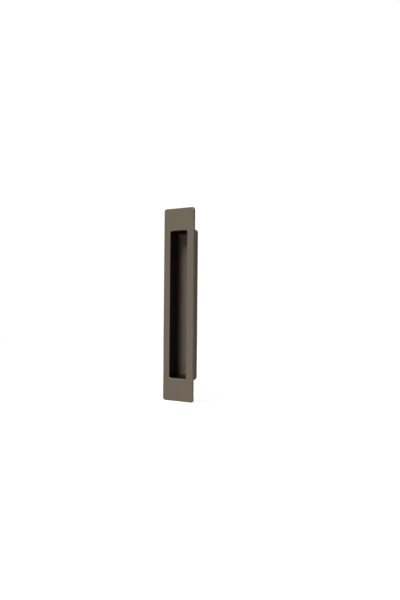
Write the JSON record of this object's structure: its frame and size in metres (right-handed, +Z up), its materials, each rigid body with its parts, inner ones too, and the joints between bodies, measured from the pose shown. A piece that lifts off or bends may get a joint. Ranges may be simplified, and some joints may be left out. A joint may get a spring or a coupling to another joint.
{
  "type": "flush pull",
  "caption": "Rectangular flush pull for a door: a plain face plate with a long finger pocket, cast in one piece, with its countersunk fixing screws.",
  "frame": {"origin": "middle of the face plate's back, on the door's face", "axes": "+X to the right, +Y into the door, +Z up; the finger pocket opens towards -Y"},
  "size_m": [0.044, 0.0311, 0.21],
  "materials": {
    "bronze_body": "cast brass, satin bronze finish",
    "bronze_screw": "steel, bronze plated to match the body"
  },
  "bodies": {
    "root": {"pull_body": "bronze_body", "upper_fixing_screw": "bronze_screw", "lower_fixing_screw": "bronze_screw"}
  },
  "joints": []
}
